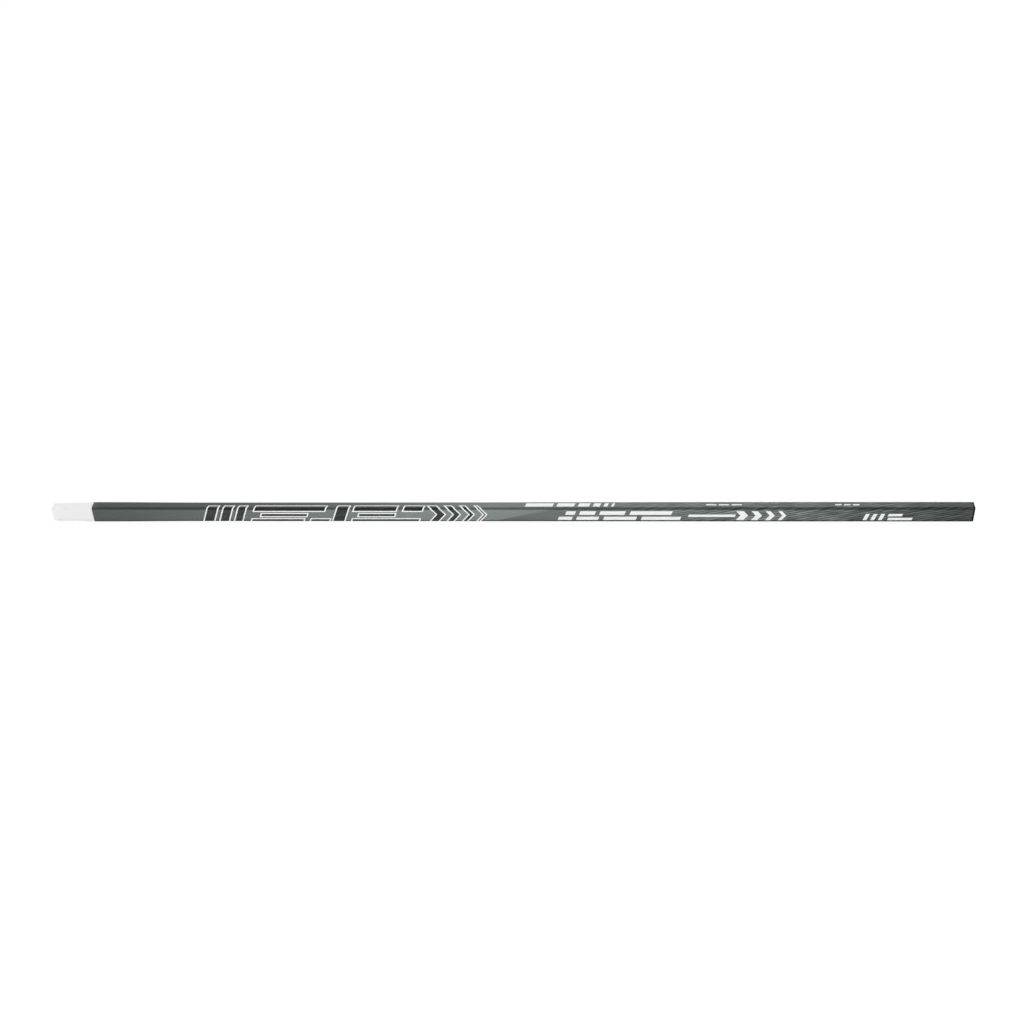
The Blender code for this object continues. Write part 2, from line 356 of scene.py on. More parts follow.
def inner_ring(x):
    """A test for the vertices of the bore's ring at x."""
    flat_y, flat_z = (size / 2 - SHAFT_CORNER for size in shaft_size(x))

    def is_inside(v):
        past_y, past_z = abs(v.co.y) - flat_y, abs(v.co.z - AXIS_Z) - flat_z
        reach = math.hypot(max(past_y, 0.0), max(past_z, 0.0)) + min(max(past_y, past_z), 0.0)
        return abs(v.co.x - x) < SAME_PLACE and reach < SHAFT_CORNER - WALL / 2

    return is_inside


def outer_rim(x):
    """A test for the edges of the outside along the cut end at x."""
    at_bore = inner_ring(x)

    def is_rim(e):
        at_end = all(abs(v.co.x - x) < SAME_PLACE and not at_bore(v) for v in e.verts)
        return at_end and any(f.material_index == 0 for f in e.link_faces)

    return is_rim


# The wall is thicker round the socket: the bore narrows there.
bpy.ops.object.mode_set(mode="EDIT")
for x in [SHAFT_START] + [x for x in stations if x < flare_end]:
    behind_socket = (x - socket_end) / (flare_end - socket_end)
    more = (SOCKET_WALL - WALL) * (1.0 - max(behind_socket, 0.0))
    pick("VERT", inner_ring(x))
    size_picked(x, *[1.0 - 2 * more / (size - 2 * WALL) for size in shaft_size(x)])
at_mouth = inner_ring(SHAFT_START)
pick("EDGE", lambda e: all(at_mouth(v) for v in e.verts))
bevel_picked(MOUTH_CHAMFER, segments=2)
for x in (SHAFT_START, SHAFT_END):
    pick("EDGE", outer_rim(x))
    bevel_picked(CUT_EDGE, segments=2)
bpy.ops.object.mode_set(mode="OBJECT")
bpy.ops.object.shade_smooth_by_angle(angle=SMOOTH_ANGLE)

# The map "wrap" holds metres along the stick and round its section from the middle of the
# front side. The bake's own map lays the outside out in strips, one above the other, with
# the bore in a narrow band over them and the two cut ends beside it.
ROUND = 0.0856
QUARTER = ROUND / 4
STRIP_HEIGHT = 0.232
MAP_MARGIN = 0.006
BORE_BAND = (0.940, 0.990)
BORE_LENGTH = 0.86
CUT_END_PLACES = (0.90, 0.96)
CUT_END_LIFT = 0.001


def way_round(x, y, z, at_back):
    """Distance round the section from the middle of the front side, from -1/4 to 3/4 turn."""
    half_width, half_height = (size / 2 for size in shaft_size(x))
    flat_y, flat_z = half_width - SHAFT_CORNER, half_height - SHAFT_CORNER
    y, z, above = abs(y), abs(z - AXIS_Z), z >= AXIS_Z
    quarter = flat_z + SHAFT_CORNER * math.pi / 2 + flat_y
    if z <= flat_z:
        way = z
    elif y <= flat_y:
        way = quarter - y
    else:
        way = flat_z + SHAFT_CORNER * math.atan2(z - flat_z, y - flat_y)
    way *= QUARTER / quarter
    if at_back:
        return ROUND / 2 - way if above else ROUND / 2 + way
    return way if above else -way


mesh = shaft.data
wrap = mesh.uv_layers.new(name="wrap")
bake_map = mesh.uv_layers.new(name="OFBake")
for face in mesh.polygons:
    centre = face.center
    strip_index = min(int((centre.x - SHAFT_START) / strip_length), MAP_STRIPS - 1)
    for loop in face.loop_indices:
        x, y, z = mesh.vertices[mesh.loops[loop].vertex_index].co
        way = way_round(x, y, z, centre.y > 0)
        wrap.uv[loop].vector = (x, way)
        across = (way + QUARTER) / ROUND
        if face.material_index == 0:
            along = (x - SHAFT_START) / strip_length - strip_index
            low = strip_index * STRIP_HEIGHT + MAP_MARGIN
            size = STRIP_HEIGHT - 2 * MAP_MARGIN
            place = (MAP_MARGIN + along * (1 - 2 * MAP_MARGIN), low + across * size)
        elif abs(face.normal.x) > 0.9:
            middle = CUT_END_PLACES[0 if centre.x < 0 else 1]
            place = (middle + y, BORE_BAND[0] + CUT_END_LIFT + z)
        else:
            along = (x - SHAFT_START) / (SHAFT_END - SHAFT_START)
            size = BORE_BAND[1] - BORE_BAND[0]
            place = (MAP_MARGIN + along * BORE_LENGTH, BORE_BAND[0] + across * size)
        bake_map.uv[loop].vector = place


def new_group(name, inputs, outputs):
    """A shader node group with float sockets, what enters it, and its output node."""
    group = bpy.data.node_groups.new(name, "ShaderNodeTree")
    for socket in inputs:
        group.interface.new_socket(socket, in_out="INPUT", socket_type="NodeSocketFloat")
    for socket in outputs:
        group.interface.new_socket(socket, in_out="OUTPUT", socket_type="NodeSocketFloat")
    entry = group.nodes.new("NodeGroupInput").outputs
    return group, entry, group.nodes.new("NodeGroupOutput")


def use_group(tree, group, inputs):
    """The outputs of a group placed in a material, with its named inputs set."""
    return add_node(tree, "ShaderNodeGroup", inputs.items(), node_tree=group).outputs


# A printed bar leans towards the butt, or with a fold in place of the slant it is a
# chevron. The group gives the depth inside it, from its nearest edge.
LEANING = {"Slant": 0.35, "Fold": 0.0}
CHEVRON = {"Slant": 0.0, "Fold": 0.8}
printed_bar, entry, result = new_group(
    "printed_bar",
    ["Along", "Across", "Centre", "Half Length", "Middle", "Half Height", "Slant", "Fold"],
    ["Depth"],
)
above_middle = calc(printed_bar, "SUBTRACT", entry["Across"], entry["Middle"])
off_middle = calc(printed_bar, "ABSOLUTE", above_middle)
along_bar = calc(printed_bar, "SUBTRACT", entry["Along"], entry["Centre"])
leaning = calc(printed_bar, "MULTIPLY", above_middle, entry["Slant"])
folded = calc(printed_bar, "MULTIPLY_ADD", off_middle, entry["Fold"], along_bar)
off_centre = calc(printed_bar, "ABSOLUTE", calc(printed_bar, "SUBTRACT", folded, leaning))
steepness = calc(printed_bar, "ADD", entry["Slant"], entry["Fold"])
steepness = calc(printed_bar, "MULTIPLY_ADD", steepness, steepness, 1.0)
from_ends = calc(printed_bar, "SUBTRACT", entry["Half Length"], off_centre)
from_ends = product(printed_bar, from_ends, calc(printed_bar, "INVERSE_SQRT", steepness))
from_sides = calc(printed_bar, "SUBTRACT", entry["Half Height"], off_middle)
feed(printed_bar, result, ("Depth", calc(printed_bar, "MINIMUM", from_ends, from_sides)))


def bars(tree, along, across, rows):
    """Depth inside the bars of some rows. A row is its lower and upper edge, its form, and
    each bar's start and length, in millimetres."""
    depth = -1.0
    for low, high, form, places in rows:
        for start, length in places:
            inputs = {"Along": along, "Across": across, **form}
            inputs["Centre"] = (start + length / 2) / 1000
            inputs["Half Length"] = length / 2000
            inputs["Middle"] = (low + high) / 2000
            inputs["Half Height"] = (high - low) / 2000
            bar = use_group(tree, printed_bar, inputs)["Depth"]
            depth = calc(tree, "MAXIMUM", bar, depth)
    return depth


# The carbon's outer layer is wound: flat tows lie side by side at a shallow angle, crowned
# across. Their colour holds painted sheen and shade: darker where the tows meet, and lighter
# and darker streaks where a tow dips over the layer below and catches the light differently.
# The streaks' ends are ragged, because they follow the fibres.
TOW_ANGLE = math.radians(11.7)
TOWS_ROUND = 21
TOW_PITCH = ROUND * math.cos(TOW_ANGLE) / TOWS_ROUND
STREAKS_PER_METRE = 46.0
STREAK_ROW_GAP = 5.3
STREAK_TURN = (0.34, 0.66)
STREAK_SHEEN = (0.75, 0.425)
FIBRES_PER_TOW = 9.0
FIBRE_TURN = (0.25, 0.75)
FIBRE_SHEEN = 0.7
FIBRE_HEIGHT = 0.3
RAGGED_ENDS = 1.6


def noise(tree, place, scale=1.0, detail=2.0, roughness=0.5):
    """Cloudy values from 0 to 1 over the places."""
    pairs = [("Vector", place), ("Scale", scale), ("Detail", detail), ("Roughness", roughness)]
    return add_node(tree, "ShaderNodeTexNoise", pairs).outputs["Fac"]


weave, entry, result = new_group("carbon_weave", ["Along", "Around"], ["Tow Sheen", "Height"])
rise = calc(weave, "MULTIPLY", entry["Along"], math.sin(TOW_ANGLE) / TOW_PITCH)
level_way = calc(weave, "MULTIPLY", entry["Around"], math.cos(TOW_ANGLE) / TOW_PITCH)
tow_place = calc(weave, "SUBTRACT", level_way, rise)
number = calc(weave, "WRAP", calc(weave, "FLOOR", tow_place), TOWS_ROUND, 0.0)
from_edge = calc(weave, "MULTIPLY_ADD", calc(weave, "FRACT", tow_place), 2.0, -1.0)
crown = calc(weave, "POWER", calc(weave, "ABSOLUTE", from_edge), 3.0)
crown = calc(weave, "SUBTRACT", 1.0, crown)
run = calc(weave, "MULTIPLY", entry["Along"], STREAKS_PER_METRE)
fibre_row = product(weave, calc(weave, "WRAP", tow_place, TOWS_ROUND, 0.0), FIBRES_PER_TOW)
fibre_place = add_node(weave, "ShaderNodeCombineXYZ", [(0, run), (1, fibre_row)]).outputs[0]
fibre = ramp(weave, noise(weave, fibre_place, detail=5.0, roughness=0.75), *FIBRE_TURN)
ragged = calc(weave, "MULTIPLY_ADD", fibre, RAGGED_ENDS, run)
row = calc(weave, "MULTIPLY", number, STREAK_ROW_GAP)
streak_place = add_node(weave, "ShaderNodeCombineXYZ", [(0, ragged), (1, row)]).outputs[0]
sheen_streak = ramp(weave, noise(weave, streak_place), *STREAK_TURN)
tow_sheen = calc(weave, "MULTIPLY", crown, calc(weave, "MULTIPLY_ADD", sheen_streak, *STREAK_SHEEN))
tow_sheen = calc(weave, "MULTIPLY_ADD", calc(weave, "SUBTRACT", fibre, 0.5), FIBRE_SHEEN, tow_sheen)
tow_height = calc(weave, "MULTIPLY_ADD", fibre, FIBRE_HEIGHT, crown)
feed(weave, result, ("Tow Sheen", tow_sheen), ("Height", tow_height))

# Paint: dark smoke at the socket, clearing to light grey over the slim stretch, then dark
# smoke again behind a long slanted edge, thinning over the weave towards the butt. The
# narrow sides have a fade of their own. Fades are (millimetres from the stick's middle,
# share of white). Other places are metres along the stick, or round its section from the
# middle of a wide side.
PAINT_TINT = (0.93, 1.04, 1.01, 1.0)
SMOKE_TINT = (0.95, 1.03, 1.02, 1.0)
LIGHT_SIDES = [(-665, 0.10), (-500, 0.145), (-160, 0.255), (5, 0.26), (90, 0.22)]
SMOKE_SIDES = [(0, 0.142), (50, 0.17), (435, 0.175), (684, 0.08), (715, 0.062)]
NARROW_SIDES = [
    (-665, 0.037),
    (-475, 0.057),
    (-216, 0.113),
    (-15, 0.192),
    (453, 0.136),
    (618, 0.088),
    (688, 0.030),
]
NARROW_TURN = (0.0115, 0.0160)
SMOKE_LEAN = 3.95
SMOKE_TURN = (0.020, 0.037)
WEAVE_RISE = (-0.02, 0.45)
WEAVE_STRENGTH = (0.12, 1.50)
TOW_MEAN = 0.60
HEIGHT_MEAN = 0.90
LEAST_LIGHT = 0.12
CARBON_COLOUR = (0.053, 0.055, 0.056, 1.0)
CARBON_LIGHT = (0.9, 0.42)
# Painted shade: the rounded edges are darkened to a thin line, broken up by the weave, a
# little weaker at the socket; on the lower edges it is stronger, as painted shade from below,
# but not towards the ends. The lacquer also thins over the edges and loses some gloss.
SHADE_AND_THIN_COAT_START = (0.0098, 0.0114)
SHADE_AND_THIN_COAT_END = (0.0138, 0.0164)
SHADE_AND_THIN_COAT = (0.42, 0.56)
SHADE_AND_THIN_COAT_RISE = (-0.68, -0.57)
LOWER_SHADE_AND_THIN_COAT = 0.65
LOWER_TURN = (-0.004, 0.004)
LOWER_FADE = (0.40, 0.64)
RIDGE_SHADE_AND_THIN_COAT = 1.2
COAT_LOSS = 1.75


def fade(tree, value, stops):
    """Grey levels along the stick, as a colour ramp over its length."""
    node = add_node(tree, "ShaderNodeValToRGB", [(0, value)])
    blend = node.color_ramp
    blend.interpolation = "LINEAR"
    for _ in stops[2:]:
        blend.elements.new(0.5)
    for element, (place, level) in zip(blend.elements, stops):
        element.position = (place / 1000 - SHAFT_START) / (SHAFT_END - SHAFT_START)
        element.color = (level, level, level, 1.0)
    return node.outputs[0]


def blend_colours(tree, share, first, second, mode="MIX"):
    """Two colours mixed by a share, or one multiplied by another."""
    pairs = ((0, share), (6, first), (7, second))
    return add_node(tree, "ShaderNodeMix", pairs, data_type="RGBA", blend_type=mode).outputs[2]


def shaded(tree, colour, light):
    """A colour multiplied by a light level."""
    grey = add_node(tree, "ShaderNodeCombineColor", enumerate([light] * 3)).outputs[0]
    return blend_colours(tree, 1.0, colour, grey, "MULTIPLY")


def relief(tree, height, strength, distance):
    """The normal that a height gives to a surface."""
    pairs = [("Height", height), ("Strength", strength), ("Distance", distance)]
    return add_node(tree, "ShaderNodeBump", pairs).outputs[0]


def laminate_places(tree):
    """Places on the shaft's map: metres along the stick and round its section."""
    place = add_node(tree, "ShaderNodeUVMap", uv_map="wrap").outputs[0]
    return add_node(tree, "ShaderNodeSeparateXYZ", [(0, place)]).outputs[:2]


laminate = shaft.data.materials[0]
laminate.use_nodes = True
tree = laminate.node_tree
along, around = laminate_places(tree)
across = calc(tree, "WRAP", around, QUARTER, -QUARTER)
edgewise = calc(tree, "WRAP", calc(tree, "SUBTRACT", around, QUARTER), QUARTER, -QUARTER)
off_side = calc(tree, "ABSOLUTE", across)
pairs = [(0, along), (1, SHAFT_START), (2, SHAFT_END)]
share_along = add_node(tree, "ShaderNodeMapRange", pairs).outputs[0]
fibres = use_group(tree, weave, {"Along": along, "Around": around})

light_sides = fade(tree, share_along, LIGHT_SIDES)
smoke_sides = fade(tree, share_along, SMOKE_SIDES)
narrow_sides = fade(tree, share_along, NARROW_SIDES)
slanted = calc(tree, "MULTIPLY_ADD", across, -SMOKE_LEAN, along)
smoky = ramp(tree, slanted, *SMOKE_TURN)
level = blend_colours(tree, smoky, light_sides, smoke_sides)
level = blend_colours(tree, ramp(tree, off_side, *NARROW_TURN), level, narrow_sides)
tint = blend_colours(tree, smoky, PAINT_TINT, SMOKE_TINT)
paint = blend_colours(tree, 1.0, level, tint, "MULTIPLY")

weave_strength = ramp(tree, along, *WEAVE_RISE, *WEAVE_STRENGTH)
# The weave's painted sheen, shown through the paint and stronger towards the butt.
sheen_change = product(tree, calc(tree, "SUBTRACT", fibres["Tow Sheen"], TOW_MEAN), weave_strength)
ridge = product(tree, calc(tree, "SUBTRACT", fibres["Height"], HEIGHT_MEAN), weave_strength)
ridge = calc(tree, "MAXIMUM", calc(tree, "MULTIPLY_ADD", ridge, RIDGE_SHADE_AND_THIN_COAT, 1.0), 0.0)
# Painted shade along the edges. The same band thins the coat further down.
edge_shade_and_thin_coat = product(
    tree,
    ramp(tree, off_side, *SHADE_AND_THIN_COAT_START),
    ramp(tree, off_side, *SHADE_AND_THIN_COAT_END, 1.0, 0.0),
    ramp(tree, along, *SHADE_AND_THIN_COAT_RISE, *SHADE_AND_THIN_COAT),
)
lower = product(
    tree,
    ramp(tree, across, *LOWER_TURN, LOWER_SHADE_AND_THIN_COAT, 0.0),
    ramp(tree, calc(tree, "ABSOLUTE", along), *LOWER_FADE, 1.0, 0.0),
)
edge_shade_and_thin_coat = product(tree, calc(tree, "MULTIPLY_ADD", edge_shade_and_thin_coat, lower, edge_shade_and_thin_coat), ridge)
# What the painted edge shade leaves of the colour.
unshaded_share = calc(tree, "SUBTRACT", 1.0, edge_shade_and_thin_coat)
weave_sheen = calc(tree, "MAXIMUM", calc(tree, "ADD", sheen_change, 1.0), LEAST_LIGHT)
paint = shaded(tree, paint, product(tree, weave_sheen, unshaded_share))
# Carbon in the print fills, with the weave's painted sheen and the painted edge shade.
carbon_light = calc(tree, "MULTIPLY_ADD", fibres["Tow Sheen"], *CARBON_LIGHT)
carbon = shaded(tree, CARBON_COLOUR, product(tree, carbon_light, unshaded_share))

# Print, alike on both wide sides: outlined dark bars and chevrons in the tip's half, white
# bars and chevrons in the butt's half, and small white bars at the grip and on the two
# narrow sides. The outlined print runs up over the front edge, and its outline is thinner
# where it ends there, at a stripe of the narrow top side that stays clear.
INK_COLOUR = (0.95, 0.95, 0.95, 1.0)
INK_EDGE = 0.0001
OUTLINE = 0.0021
CLEAR_TOP = (0.0200, 0.0290)
STRIPE_THINNING = 1.3
OUTLINED_ROWS = [
    (-18.5, 21.0, LEANING, [(-486, 20), (-460, 18), (-436, 16), (-276, 22)]),
    (6.4, 21.0, LEANING, [(-405, 118), (-244, 72), (-164, 34)]),
    (-18.5, -6.4, LEANING, [(-413, 88), (-317, 34), (-250, 112)]),
    (-4.4, 4.4, LEANING, [(-396, 78), (-238, 62)]),
    (-18.5, 21.0, CHEVRON, [(-112, 17), (-85, 14), (-60, 11), (-37, 8)]),
]
WHITE_ROWS = [
    (0.6, 8.0, LEANING, [(96, 15), (118, 25), (150, 40), (198, 66)]),
    (-9.7, -3.2, LEANING, [(84, 22), (113, 35), (156, 52), (216, 62)]),
    (-3.6, 1.2, LEANING, [(290, 74)]),
    (-9.7, 8.0, CHEVRON, [(372, 12), (396, 10), (418, 8), (438, 6)]),
    (-9.8, 2.6, LEANING, [(566, 6), (578, 6), (590, 6)]),
    (-9.8, -5.0, LEANING, [(603, 38)]),
    (-2.2, 2.6, LEANING, [(603, 22)]),
]
NARROW_ROWS = [
    (-4.2, 4.2, LEANING, [(32, 44), (82, 28), (116, 18), (140, 11), (157, 6), (169, 4)]),
    (-1.4, 1.4, LEANING, [(318, 16), (338, 16), (358, 16), (520, 10), (534, 10), (548, 10)]),
]

outlined = bars(tree, along, across, OUTLINED_ROWS)
from_stripe = calc(tree, "ABSOLUTE", calc(tree, "SUBTRACT", around, sum(CLEAR_TOP) / 2))
from_stripe = calc(tree, "SUBTRACT", from_stripe, (CLEAR_TOP[1] - CLEAR_TOP[0]) / 2)
outlined = calc(tree, "MINIMUM", outlined, product(tree, from_stripe, STRIPE_THINNING))
white = bars(tree, along, across, WHITE_ROWS)
white = calc(tree, "MAXIMUM", white, bars(tree, along, edgewise, NARROW_ROWS))
inside = ramp(tree, outlined, -INK_EDGE, INK_EDGE)
filled = ramp(tree, outlined, OUTLINE - INK_EDGE, OUTLINE + INK_EDGE)
white = ramp(tree, white, -INK_EDGE, INK_EDGE)
inked = calc(tree, "MAXIMUM", calc(tree, "SUBTRACT", inside, filled), white)
colour = blend_colours(tree, filled, paint, carbon)
coat = calc(tree, "MAXIMUM", calc(tree, "MULTIPLY_ADD", edge_shade_and_thin_coat, -COAT_LOSS, 1.0), 0.0)
feed(
    tree,
    tree.nodes["Principled BSDF"],
    ("Base Color", blend_colours(tree, inked, colour, INK_COLOUR)),
    ("Roughness", 0.42),
    ("Specular IOR Level", 0.10),
    ("Coat Weight", coat),
    ("Coat Roughness", 0.05),
    ("Normal", relief(tree, fibres["Height"], strength=0.25, distance=0.0001)),
)

# The bore and the cut ends show the bare laminate: matt black, with the same weave.
BARE_COLOUR = (0.02, 0.02, 0.02, 1.0)
BARE_LIGHT = 0.4

bare = shaft.data.materials[1]
bare.use_nodes = True
tree = bare.node_tree
along, around = laminate_places(tree)
fibres = use_group(tree, weave, {"Along": along, "Around": around})
# The weave's painted sheen on the bare carbon.
bare_light = calc(tree, "ADD", fibres["Tow Sheen"], BARE_LIGHT)
feed(
    tree,
    tree.nodes["Principled BSDF"],
    ("Base Color", shaded(tree, BARE_COLOUR, bare_light)),
    ("Roughness", 0.6),
    ("Normal", relief(tree, fibres["Height"], strength=0.4, distance=0.0001)),
)

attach(shaft, "root")
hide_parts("shaft")

# ---------------------------------------------------------------------------------------
# Tip: one moulding of white nylon. Its nose is slimmer than the shaft and flares to a
# collar flush with it. Behind the shoulder a ribbed, cored tenon goes into the socket,
# and a fine parting line runs over both narrow sides, where the mould halves met.
TIP_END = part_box("tip")[0].x
TENON_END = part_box("tip")[1].x
TENON_LENGTH = 0.056
SHOULDER = TENON_END - TENON_LENGTH
NOSE_SIZE = (0.0171, 0.0271)
NOSE_CORNER = 0.0035
NOSE_DRAFT = math.radians(0.3)
NOSE_ROUNDING = 0.0025
NOSE_FLARE = 0.017
NOSE_FLARE_STEPS = 14
TIP_COLLAR = 0.006
COLLAR_EDGE = 0.0004
PARTING_HALF_WIDTH = 0.00012
PARTING_HEIGHT = 0.00005
PARTING_GAP = 0.0094
TENON_SIZE = (0.0109, 0.0216)
TENON_CORNER = 0.001
TENON_LEAD = (0.003, 0.0013)
TENON_FILLET = 0.0008
TENON_SINK = 0.004
TIP_RIBS = {"rise": 0.0011, "width": 0.003, "spacing": 0.012, "lead": 0.003}
RIB_SETBACK = 0.012
RIB_SINK = 0.0005
RIB_EDGE_SHARE = 0.1
CORE_WALL = 0.0026
CORE_CORNER = 0.0015
CORE_EDGE = 0.0008
CORE_DRAFT = math.radians(0.5)
NOSE_SOLID = 0.030
CUTTER_OVERRUN = 0.002
MERGE_DISTANCE = 1e-6


def bevel_ring(x, offset, segments):
    """Round the edges that lie across the edited bar at x."""
    pick("EDGE", lambda e: all(abs(v.co.x - x) < SAME_PLACE for v in e.verts))
    bevel_picked(offset, segments)


def combine(piece, other, operation):
    """Join another solid to a piece, or cut it away, and delete it."""
    if bpy.context.mode != "OBJECT":
        bpy.ops.object.mode_set(mode="OBJECT")
    change = piece.modifiers.new(other.name, "BOOLEAN")
    change.object = other
    change.operation = operation
    change.solver = "EXACT"
    bpy.ops.object.select_all(action="DESELECT")
    bpy.context.view_layer.objects.active = piece
    bpy.ops.object.modifier_apply(modifier=change.name)
    bpy.data.objects.remove(other)


def add_ribs(piece, size, start, end, rise, width, spacing, lead):
    """Ribs on a plug that run out in a slope: two on each wide side, one on each narrow."""
    way = 1 if end > start else -1
    for out, over, place in ((1, 2, -spacing / 2), (1, 2, spacing / 2), (2, 1, 0.0)):
        half = size[out - 1] / 2
        low, high = Vector((0.0, 0.0, 0.0)), Vector((0.0, 0.0, 0.0))
        low.x, high.x = sorted((start - way * RIB_SINK, end))
        low[out], high[out] = half - RIB_SINK, half + rise
        low[over], high[over] = place - width / 2, place + width / 2
        low.z += AXIS_Z
        high.z += AXIS_Z
        rib = block("rib", low, high)
        top = high[out] - SAME_PLACE
        pick("VERT", lambda v: abs(v.co.x - end) < SAME_PLACE and v.co[out] > top)
        bpy.ops.transform.translate(value=(-way * lead, 0.0, 0.0))
        pick("EDGE", lambda e: all(v.co[out] > top for v in e.verts))
        bevel_picked(width * RIB_EDGE_SHARE, segments=2)
        bpy.ops.mesh.select_all(action="SELECT")
        bpy.ops.mesh.duplicate()
        flip = [-1.0 if axis == out else 1.0 for axis in range(3)]
        bpy.ops.transform.resize(value=flip, center_override=(0.0, 0.0, AXIS_Z))
        face_outwards()
        combine(piece, rib, "UNION")


def finish_moulding():
    """Merge what the joins left double, turn the faces outwards and smooth the roundings."""
    bpy.ops.object.mode_set(mode="EDIT")
    bpy.ops.mesh.select_all(action="SELECT")
    bpy.ops.mesh.remove_doubles(threshold=MERGE_DISTANCE)
    face_outwards()
    bpy.ops.object.mode_set(mode="OBJECT")
    bpy.ops.object.shade_smooth_by_angle(angle=SMOOTH_ANGLE)


# The nose and its flare, whose corners tighten from the nose's to the shaft's.
nose_root = SHOULDER - TIP_COLLAR - NOSE_FLARE
flare_steps = range(NOSE_FLARE_STEPS + 1)
tip_rings = [nose_root + NOSE_FLARE * i / NOSE_FLARE_STEPS for i in flare_steps]
tip = bar_block("moulded_tip", NOSE_SIZE, TIP_END, SHOULDER)
cut_across(tip_rings)
for x in [TIP_END] + tip_rings + [SHOULDER]:
    draft = min(x - nose_root, 0.0) * math.tan(NOSE_DRAFT)
    share = (x - nose_root) / NOSE_FLARE
    width, height = (ease(a, b, share) + 2 * draft for a, b in zip(NOSE_SIZE, SOCKET_SIZE))
    size_ring(x, width / NOSE_SIZE[0], height / NOSE_SIZE[1])
for low_x, high_x in zip([TIP_END] + tip_rings, tip_rings + [SHOULDER]):
    centre_x = (low_x + high_x) / 2
    pick("EDGE", lambda e: abs(sum(v.co.x for v in e.verts) / 2 - centre_x) < SAME_PLACE)
    corner = ease(NOSE_CORNER, SHAFT_CORNER, (centre_x - nose_root) / NOSE_FLARE)
    bpy.ops.transform.edge_bevelweight(value=corner / NOSE_CORNER)
bpy.ops.object.mode_set(mode="OBJECT")
corners = tip.modifiers.new("corners", "BEVEL")
corners.limit_method = "WEIGHT"
corners.width = NOSE_CORNER
corners.segments = CORNER_SEGMENTS
corners.use_clamp_overlap = False
bpy.ops.object.modifier_apply(modifier="corners")
bpy.ops.object.mode_set(mode="EDIT")
bevel_ring(TIP_END, NOSE_ROUNDING, segments=8)
bevel_ring(SHOULDER, COLLAR_EDGE, segments=3)
cut_across([-PARTING_HALF_WIDTH, 0.0, PARTING_HALF_WIDTH], "y")
line_start, line_end = TIP_END + SAME_PLACE, SHOULDER - PARTING_GAP
pick("VERT", lambda v: abs(v.co.y) < SAME_PLACE and line_start < v.co.x < line_end)
bpy.ops.transform.shrink_fatten(value=PARTING_HEIGHT)
bpy.ops.object.mode_set(mode="OBJECT")


def at_tenon_root(v):
    """Whether a vertex lies where the tenon leaves the shoulder."""
    out_y, out_z = abs(v.co.y) - TENON_SIZE[0] / 2, abs(v.co.z - AXIS_Z) - TENON_SIZE[1] / 2
    return abs(v.co.x - SHOULDER) < SAME_PLACE and max(out_y, out_z) < SAME_PLACE


# The tenon with its lead-in, fillet and ribs, and the core that hollows it.
tenon = bar_block("tenon", TENON_SIZE, SHOULDER - TENON_SINK, TENON_END)
cut_across([TENON_END - TENON_LEAD[0]])
size_ring(TENON_END, *[1.0 - 2 * TENON_LEAD[1] / size for size in TENON_SIZE])
bevel_long_edges(TENON_CORNER, segments=6)
combine(tip, tenon, "UNION")
bpy.ops.object.mode_set(mode="EDIT")
pick("EDGE", lambda e: all(at_tenon_root(v) for v in e.verts))
bevel_picked(TENON_FILLET, segments=4)
bpy.ops.object.mode_set(mode="OBJECT")
add_ribs(tip, TENON_SIZE, SHOULDER, TENON_END - RIB_SETBACK, **TIP_RIBS)

core_start = TIP_END + NOSE_SOLID
core_size = [size - 2 * CORE_WALL for size in TENON_SIZE]
core = bar_block("core", core_size, core_start, TENON_END + CUTTER_OVERRUN)
drop = 2 * (TENON_END - core_start) * math.tan(CORE_DRAFT)
size_ring(core_start, *[1.0 - drop / size for size in core_size])
bevel_long_edges(CORE_CORNER, segments=6)
bevel_ring(core_start, CORE_EDGE, segments=3)
combine(tip, core, "DIFFERENCE")
finish_moulding()

# Moulded plastic and rubber: a cloudy change of tone, fine scuffs along the piece where it
# is worn, and a grain from the mould's surface.
SCUFFS_PER_METRE = 2600.0
SCUFF_STRETCH = (0.05, 1.0, 1.0)
SCUFF_TURN = (0.60, 0.74)
SCUFF_DEPTH = 0.5
WORN_TURN = (0.0, 0.5)
CLOUD_ROUGHNESS = 0.05
SCUFF_ROUGHNESS = 0.15
GRAIN_STRENGTH = 0.35

skin, entry, result = new_group(
    "moulded_skin", ["Cloud Size", "Grain Size", "Scuff Share"], ["Cloud", "Scuff", "Height"]
)
place = add_node(skin, "ShaderNodeTexCoord").outputs["Object"]
cloud_scale = calc(skin, "DIVIDE", 1.0, entry["Cloud Size"])
grain_scale = calc(skin, "DIVIDE", 1.0, entry["Grain Size"])
cloud = calc(skin, "MULTIPLY_ADD", noise(skin, place, cloud_scale, detail=4.0), 2.0, -1.0)
grain = noise(skin, place, grain_scale)
pairs = [("Vector", place), ("Scale", SCUFF_STRETCH)]
drawn = add_node(skin, "ShaderNodeMapping", pairs).outputs[0]
scuffs = ramp(skin, noise(skin, drawn, SCUFFS_PER_METRE), *SCUFF_TURN)
scuffs = product(skin, scuffs, ramp(skin, cloud, *WORN_TURN), entry["Scuff Share"])
skin_height = calc(skin, "SUBTRACT", grain, product(skin, scuffs, SCUFF_DEPTH))
feed(skin, result, ("Cloud", cloud), ("Scuff", scuffs), ("Height", skin_height))


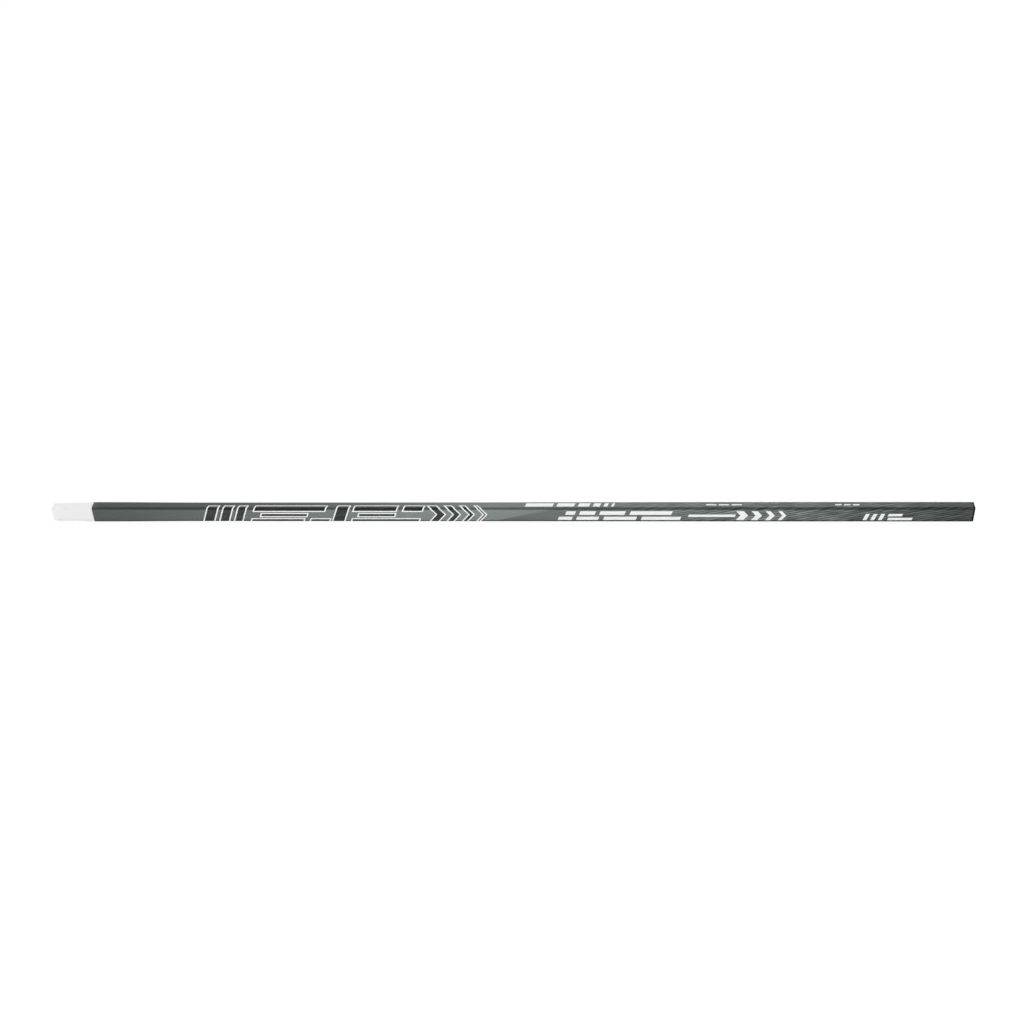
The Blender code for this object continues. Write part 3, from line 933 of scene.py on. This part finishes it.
def moulded_material(name, colour, cloud_depth, roughness, gloss, grain_height, skin_values):
    """A moulded surface: a colour with clouds and scuffs in it, and a grained relief."""
    material = bpy.data.materials.new(name)
    material.use_nodes = True
    tree = material.node_tree
    marks = use_group(tree, skin, skin_values)
    light = calc(tree, "MULTIPLY_ADD", marks["Cloud"], cloud_depth, 1.0)
    light = calc(tree, "MULTIPLY_ADD", marks["Scuff"], cloud_depth, light)
    rough = calc(tree, "MULTIPLY_ADD", marks["Cloud"], CLOUD_ROUGHNESS, roughness)
    rough = calc(tree, "MULTIPLY_ADD", marks["Scuff"], SCUFF_ROUGHNESS, rough)
    feed(
        tree,
        tree.nodes["Principled BSDF"],
        ("Base Color", shaded(tree, colour, light)),
        ("Roughness", rough),
        ("Specular IOR Level", gloss),
        ("Normal", relief(tree, marks["Height"], GRAIN_STRENGTH, grain_height)),
    )
    return material


nylon = moulded_material(
    "white_nylon",
    colour=(0.88, 0.88, 0.88, 1.0),
    cloud_depth=0.015,
    roughness=0.42,
    gloss=0.35,
    grain_height=0.00004,
    skin_values={"Cloud Size": 0.018, "Grain Size": 0.00035, "Scuff Share": 0.5},
)
tip.data.materials.append(nylon)
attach(tip, "root")
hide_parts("tip")

# ---------------------------------------------------------------------------------------
# Bond: amber hot-melt adhesive, poured into the socket round the tip's tenon. It is the
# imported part's own solid, with a waxy, slightly cloudy surface.
hot_melt = moulded_material(
    "amber_hot_melt",
    colour=(0.72, 0.60, 0.36, 1.0),
    cloud_depth=0.12,
    roughness=0.30,
    gloss=0.5,
    grain_height=0.00006,
    skin_values={"Cloud Size": 0.006, "Grain Size": 0.0008, "Scuff Share": 0.0},
)
for slot in bpy.data.objects["tip_bond"].material_slots:
    slot.material = hot_melt

# ---------------------------------------------------------------------------------------
# Butt cap: a black rubber plug. Its thin flange covers the shaft's cut end, flush with the
# laminate, and its hollow ribbed stem is pushed into the bore.
STEM_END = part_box("butt_cap")[0].x
CAP_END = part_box("butt_cap")[1].x
CAP_FLANGE = 0.0024
CAP_EDGE = 0.0007
FLANGE_EDGE = 0.00015
STEM_SIZE = (0.0125, 0.0230)
STEM_CORNER = 0.001
STEM_LEAD = (0.003, 0.0009)
STEM_WALL = 0.0018
STEM_SINK = 0.001
CAP_RIBS = {"rise": 0.0006, "width": 0.0015, "spacing": 0.014, "lead": 0.002}
CAP_RIB_SETBACK = 0.008

flange_start = CAP_END - CAP_FLANGE
cap = bar_block("butt_plug", GRIP_SIZE, flange_start, CAP_END)
bevel_long_edges(SHAFT_CORNER, CORNER_SEGMENTS)
bevel_ring(CAP_END, CAP_EDGE, segments=5)
bevel_ring(flange_start, FLANGE_EDGE, segments=2)
bpy.ops.object.mode_set(mode="OBJECT")
stem = bar_block("stem", STEM_SIZE, STEM_END, flange_start + STEM_SINK)
cut_across([STEM_END + STEM_LEAD[0]])
size_ring(STEM_END, *[1.0 - 2 * STEM_LEAD[1] / size for size in STEM_SIZE])
bevel_long_edges(STEM_CORNER, segments=6)
combine(cap, stem, "UNION")
add_ribs(cap, STEM_SIZE, flange_start, STEM_END + CAP_RIB_SETBACK, **CAP_RIBS)
hollow_size = [size - 2 * STEM_WALL for size in STEM_SIZE]
hollow = bar_block("hollow", hollow_size, STEM_END - CUTTER_OVERRUN, flange_start)
bevel_long_edges(STEM_CORNER, segments=6)
combine(cap, hollow, "DIFFERENCE")
finish_moulding()

rubber = moulded_material(
    "black_rubber",
    colour=(0.008, 0.008, 0.0085, 1.0),
    cloud_depth=0.6,
    roughness=0.50,
    gloss=0.16,
    grain_height=0.0001,
    skin_values={"Cloud Size": 0.007, "Grain Size": 0.0003, "Scuff Share": 1.0},
)
cap.data.materials.append(rubber)
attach(cap, "root")
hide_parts("butt_cap")
